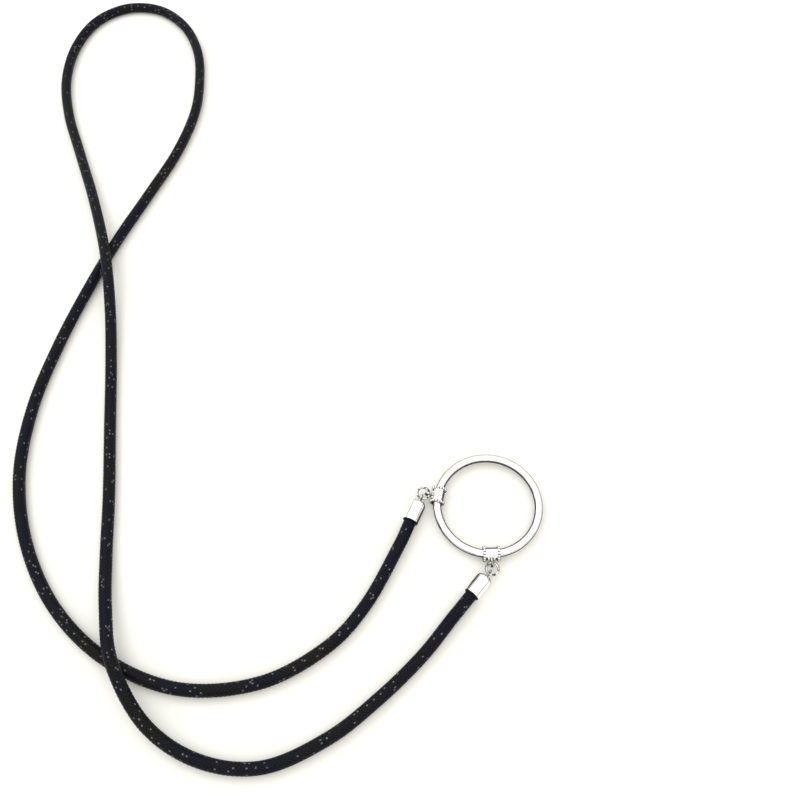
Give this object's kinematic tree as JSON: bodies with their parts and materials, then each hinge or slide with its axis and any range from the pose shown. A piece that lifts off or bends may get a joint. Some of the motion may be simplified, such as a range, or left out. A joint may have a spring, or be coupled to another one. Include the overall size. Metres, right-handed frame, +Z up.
{
  "type": "eyeglass retainer strap",
  "caption": "Round braided neck cord with a metal cap on each end. Both caps hang from one metal ring by jump rings and beaded bails, and a glasses temple goes through the ring.",
  "frame": {"origin": "centre of the metal ring, in its mid-plane", "axes": "+Z up from the surface that the strap lies on, along the ring's own axis; +Y away from the viewer, towards the far end of the cord's loop; +X to the right, with the caps on the ring's left and near side"},
  "size_m": [0.1624, 0.2738, 0.0069],
  "materials": {
    "braided_cord": "satin",
    "core_yarn": "matte",
    "ring_metal": "polished",
    "cap_metal": "polished",
    "jump_ring_metal": "polished",
    "bail_metal": "polished, darkened in the recesses",
    "bead_metal": "polished granules, darkened between them",
    "glue": "clear cured adhesive"
  },
  "bodies": {
    "strap": {"cord_sheath": "braided_cord", "cord_core": "core_yarn", "left_cap": "cap_metal", "right_cap": "cap_metal", "left_cap_loop": "cap_metal", "right_cap_loop": "cap_metal", "left_glue": "glue", "right_glue": "glue"},
    "left_link": {"left_jump_ring": "jump_ring_metal"},
    "right_link": {"right_jump_ring": "jump_ring_metal"},
    "left_bail_unit": {"left_bail": "bail_metal", "left_bail_upper_rim": "bead_metal", "left_bail_lower_rim": "bead_metal", "left_bail_granules": "bead_metal", "left_bail_loop": "bail_metal"},
    "right_bail_unit": {"right_bail": "bail_metal", "right_bail_upper_rim": "bead_metal", "right_bail_lower_rim": "bead_metal", "right_bail_granules": "bead_metal", "right_bail_loop": "bail_metal"},
    "ring": {"temple_ring": "ring_metal"}
  },
  "joints": [
    {"name": "left_link_swing", "type": "hinge", "parent": "strap", "child": "left_link", "pos_m": [-0.01834, 0.00193, 0], "axis": [0.6388, -0.7693, 0], "range_deg": [-75, 75]},
    {"name": "right_link_swing", "type": "hinge", "parent": "strap", "child": "right_link", "pos_m": [-0.00075, -0.01927, 0], "axis": [0.6388, -0.7693, 0], "range_deg": [-75, 75]},
    {"name": "left_bail_swing", "type": "hinge", "parent": "left_link", "child": "left_bail_unit", "pos_m": [-0.01605, 0.00312, 0], "axis": [0.6428, -0.766, 0], "range_deg": [-45, 45]},
    {"name": "right_bail_swing", "type": "hinge", "parent": "right_link", "child": "right_bail_unit", "pos_m": [0.00029, -0.01635, 0], "axis": [0.6428, -0.766, 0], "range_deg": [-45, 45]},
    {"name": "ring_slide", "type": "hinge", "parent": "left_bail_unit", "child": "ring", "pos_m": [0, 0, 0], "axis": [0, 0, 1], "continuous": true}
  ],
  "couplings": [
    {"joint": "right_link_swing", "follows": "left_link_swing", "ratio": 1},
    {"joint": "right_bail_swing", "follows": "left_bail_swing", "ratio": 1}
  ]
}
